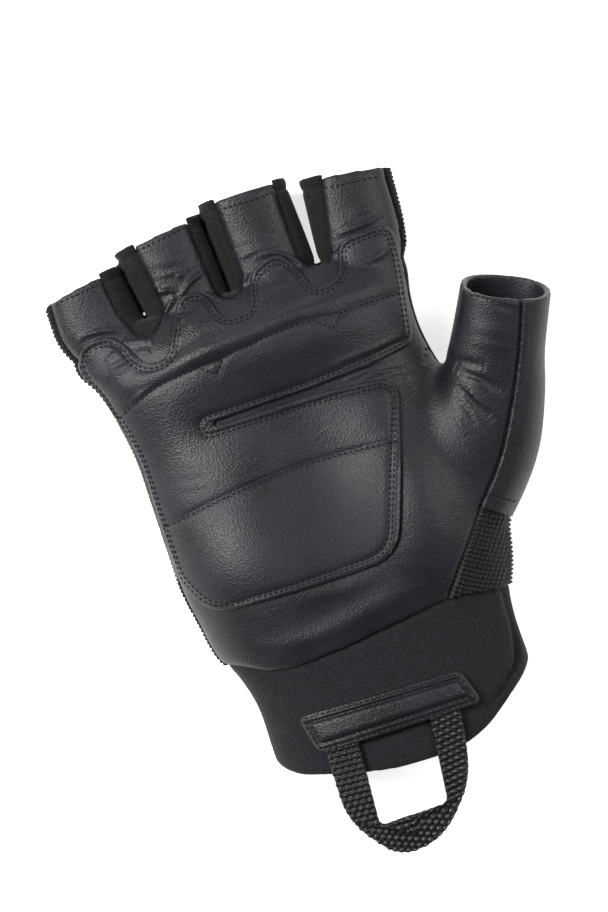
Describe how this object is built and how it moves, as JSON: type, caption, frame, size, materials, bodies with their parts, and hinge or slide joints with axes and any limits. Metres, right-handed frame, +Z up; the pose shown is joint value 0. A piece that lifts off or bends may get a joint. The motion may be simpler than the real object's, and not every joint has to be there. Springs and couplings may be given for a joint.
{
  "type": "fingerless tactical glove",
  "caption": "Right-hand fingerless glove lying palm up, with a padded leather palm, knit back and finger sides, a soft wrist cuff and a webbing pull loop.",
  "frame": {"origin": "under the middle of the glove's bounding box, on the surface that it lies on", "axes": "+Y from the cuff to the fingertips, +X towards the thumb side, +Z up out of the palm"},
  "size_m": [0.1385, 0.1925, 0.0426],
  "materials": {
    "palm_leather": "smooth black leather with a fine grain and a soft sheen",
    "overlay_leather": "smooth black leather over thin padding, quilted",
    "thumb_leather": "smooth black leather with a fine grain",
    "stretch_knit": "matte black fine stretch knit",
    "gusset_knit": "matte black knit with rows of small nubs",
    "back_knit": "matte black knit with rows of small nubs",
    "cuff_jersey": "matte black jersey over thin foam",
    "patch_leather": "smooth black leather, stitched round its edge",
    "webbing": "black woven nylon webbing with a coarse basket weave"
  },
  "bodies": {
    "root": {"palm_leather": "palm_leather", "palm_overlay": "overlay_leather", "thumb_back": "thumb_leather", "sidewall_little_ring": "stretch_knit", "sidewall_ring_middle": "stretch_knit", "sidewall_middle_index": "stretch_knit", "side_gusset": "gusset_knit", "back_panel": "back_knit", "cuff": "cuff_jersey", "pull_patch": "patch_leather", "pull_loop": "webbing"}
  },
  "joints": []
}
